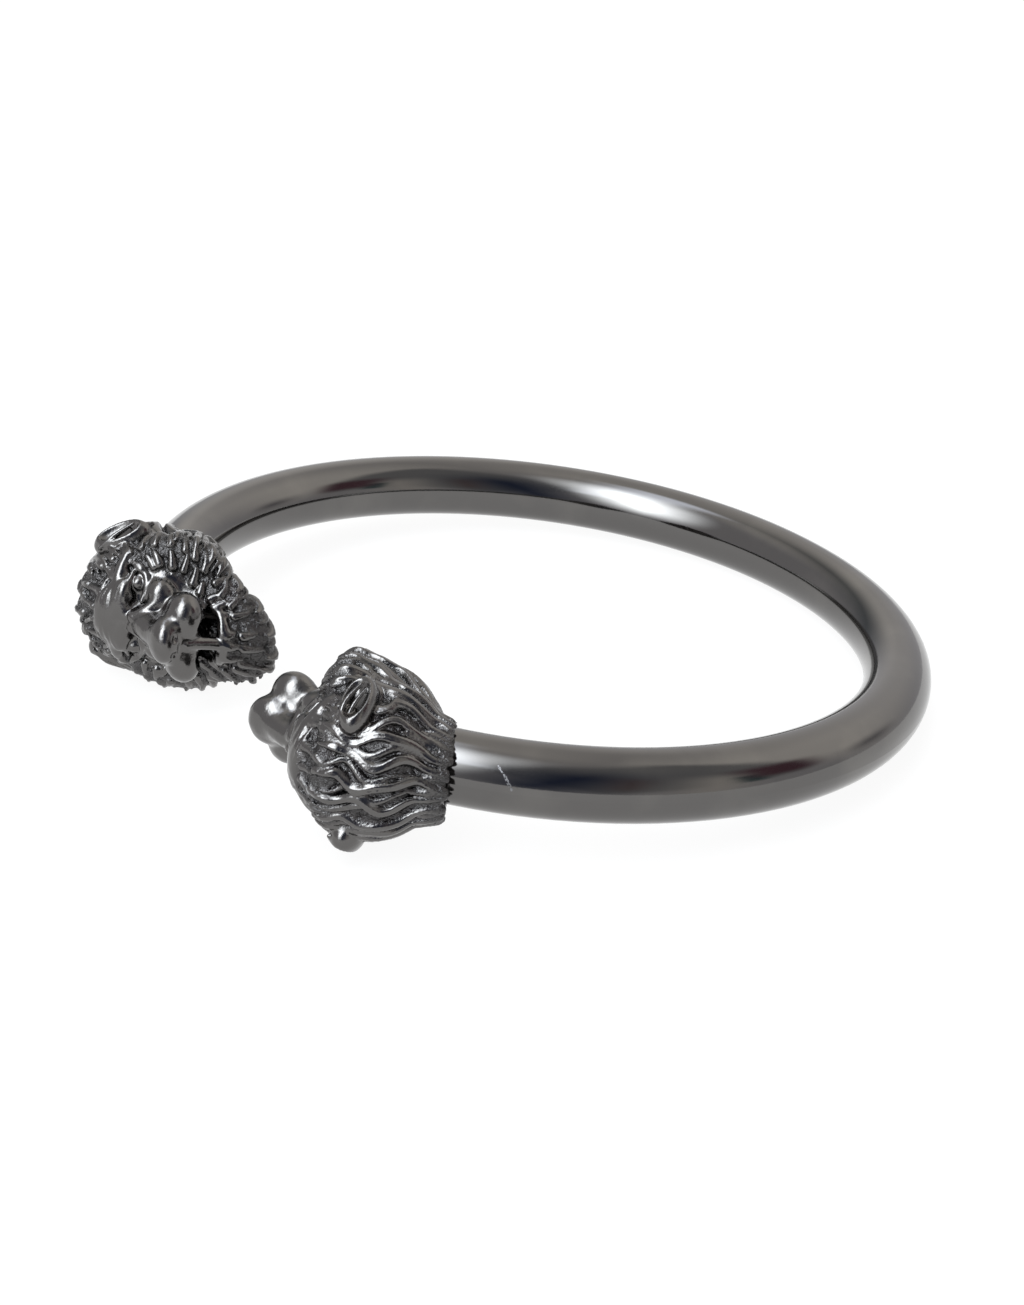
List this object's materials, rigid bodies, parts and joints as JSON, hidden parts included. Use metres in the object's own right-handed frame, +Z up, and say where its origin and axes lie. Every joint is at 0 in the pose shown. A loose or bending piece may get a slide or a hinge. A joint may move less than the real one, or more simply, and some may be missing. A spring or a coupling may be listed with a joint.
{
  "type": "lion head cuff bangle",
  "caption": "Open cuff bangle of polished dark grey metal: a round bar bent into an arc, with a cast lion's head on each end, the heads facing each other across the gap.",
  "frame": {"origin": "on the resting surface, under the middle of the whole bangle", "axes": "+Z up from the resting surface, -X towards the gap between the heads, +Y towards the left head, the one that is farther from the camera in the picture"},
  "size_m": [0.0705, 0.0698, 0.0147],
  "materials": {
    "bar_metal": "mirror polish with a dark grey plating",
    "head_metal": "polished cast relief with a dark grey plating, finely grained in the hollows of the mane"
  },
  "bodies": {
    "root": {"bar": "bar_metal", "lion_head_left": "head_metal", "lion_head_right": "head_metal"}
  },
  "joints": []
}
